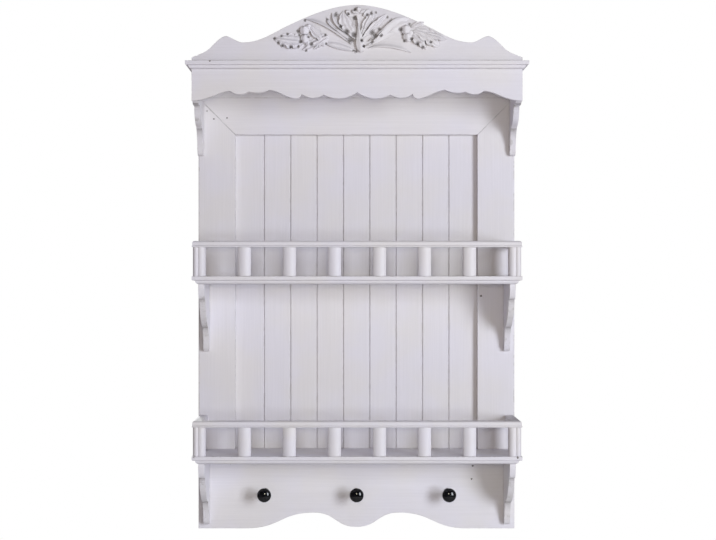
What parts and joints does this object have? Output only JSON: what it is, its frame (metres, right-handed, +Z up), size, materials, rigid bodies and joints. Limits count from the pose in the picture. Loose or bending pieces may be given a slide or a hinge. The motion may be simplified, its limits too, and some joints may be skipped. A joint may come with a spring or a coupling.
{
  "type": "plate display shelf",
  "caption": "Wall shelf for showing plates: panelled back, shelves with baluster galleries, carved crest over a scalloped canopy, and a wavy peg rail.",
  "frame": {"origin": "on the wall face of the middle back board, in the middle of the shelf's width and close to the middle of its height", "axes": "+X to the right as seen from the front, +Y into the wall, +Z up"},
  "size_m": [0.709, 0.1775, 1.105],
  "materials": {
    "white_paint": "chalky satin white paint over solid wood, lightly worn on its arrises",
    "black_lacquer": "glossy black lacquer over turned wood",
    "zinc": "zinc plated sheet steel"
  },
  "bodies": {
    "root": {"back_board_1": "white_paint", "back_board_2": "white_paint", "back_board_3": "white_paint", "back_board_4": "white_paint", "back_board_5": "white_paint", "back_board_6": "white_paint", "back_board_7": "white_paint", "back_board_8": "white_paint", "back_board_9": "white_paint", "canopy_left_bracket": "white_paint", "canopy_right_bracket": "white_paint", "canopy_top_board": "white_paint", "crest_board": "white_paint", "crest_carving": "white_paint", "frieze_board": "white_paint", "head_board": "white_paint", "left_hanger_plate": "zinc", "left_knob": "black_lacquer", "left_stile": "white_paint", "lower_front_baluster_1": "white_paint", "lower_front_baluster_2": "white_paint", "lower_front_baluster_3": "white_paint", "lower_front_baluster_4": "white_paint", "lower_front_baluster_5": "white_paint", "lower_front_baluster_6": "white_paint", "lower_front_rail": "white_paint", "lower_left_bracket": "white_paint", "lower_left_corner_post": "white_paint", "lower_left_rail": "white_paint", "lower_left_side_baluster": "white_paint", "lower_right_bracket": "white_paint", "lower_right_corner_post": "white_paint", "lower_right_rail": "white_paint", "lower_right_side_baluster": "white_paint", "lower_shelf": "white_paint", "middle_knob": "black_lacquer", "peg_rail": "white_paint", "right_hanger_plate": "zinc", "right_knob": "black_lacquer", "right_stile": "white_paint", "top_rail": "white_paint", "upper_front_baluster_1": "white_paint", "upper_front_baluster_2": "white_paint", "upper_front_baluster_3": "white_paint", "upper_front_baluster_4": "white_paint", "upper_front_baluster_5": "white_paint", "upper_front_baluster_6": "white_paint", "upper_front_rail": "white_paint", "upper_left_bracket": "white_paint", "upper_left_corner_post": "white_paint", "upper_left_rail": "white_paint", "upper_left_side_baluster": "white_paint", "upper_right_bracket": "white_paint", "upper_right_corner_post": "white_paint", "upper_right_rail": "white_paint", "upper_right_side_baluster": "white_paint", "upper_shelf": "white_paint"}
  },
  "joints": []
}
